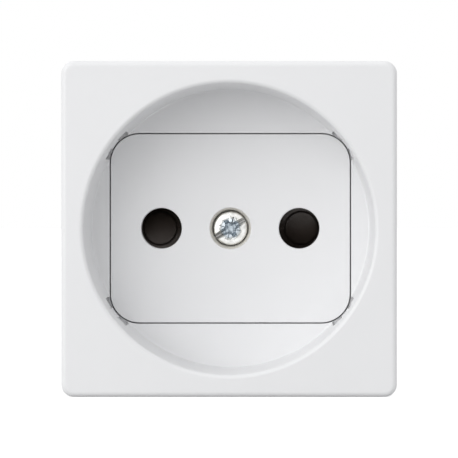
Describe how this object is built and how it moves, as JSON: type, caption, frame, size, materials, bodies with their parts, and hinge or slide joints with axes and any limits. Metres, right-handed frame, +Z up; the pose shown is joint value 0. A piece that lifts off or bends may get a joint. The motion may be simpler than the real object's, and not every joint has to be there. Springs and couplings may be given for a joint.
{
  "type": "two-pole wall socket",
  "caption": "White square wall socket module with a round plug recess, two pin holes behind a turning safety shutter, screw terminals and snap-in base.",
  "frame": {"origin": "centre of the plate's rear rim, the plane that lies on the support frame", "axes": "+Y out of the back towards the wall, +Z up, +X to the right seen from the front"},
  "size_m": [0.045, 0.0357, 0.045],
  "materials": {
    "white_plastic": "smooth white moulded plastic with a satin shine",
    "grey_plastic": "matt light grey moulded plastic",
    "shutter_plastic": "brown-black moulded plastic with a faint shine",
    "zinc_steel": "bright zinc-plated steel",
    "spring_steel": "drawn spring steel",
    "contact_bronze": "pressed bronze sheet",
    "bush_brass": "turned brass"
  },
  "bodies": {
    "socket": {"front_cover": "white_plastic", "pin_face": "white_plastic", "centre_screw": "zinc_steel", "shutter_spring": "spring_steel", "retaining_washer": "spring_steel", "contact_cover": "grey_plastic", "base": "grey_plastic", "threaded_bush": "bush_brass", "contact_left": "contact_bronze", "contact_right": "contact_bronze", "grip_band_left": "spring_steel", "grip_band_right": "spring_steel", "terminal_screw_left": "zinc_steel", "terminal_screw_right": "zinc_steel", "clamp_plate_left": "zinc_steel", "clamp_plate_right": "zinc_steel"},
    "shutter_unit": {"shutter": "shutter_plastic"}
  },
  "joints": [
    {"name": "shutter_turn", "type": "hinge", "parent": "socket", "child": "shutter_unit", "pos_m": [0, 0.00815, 0], "axis": [0, -1, 0], "range_deg": [0, 40], "stiffness_Nm_per_rad": 0.001, "springref_deg": -28.65, "deforming": ["shutter_spring"]}
  ]
}
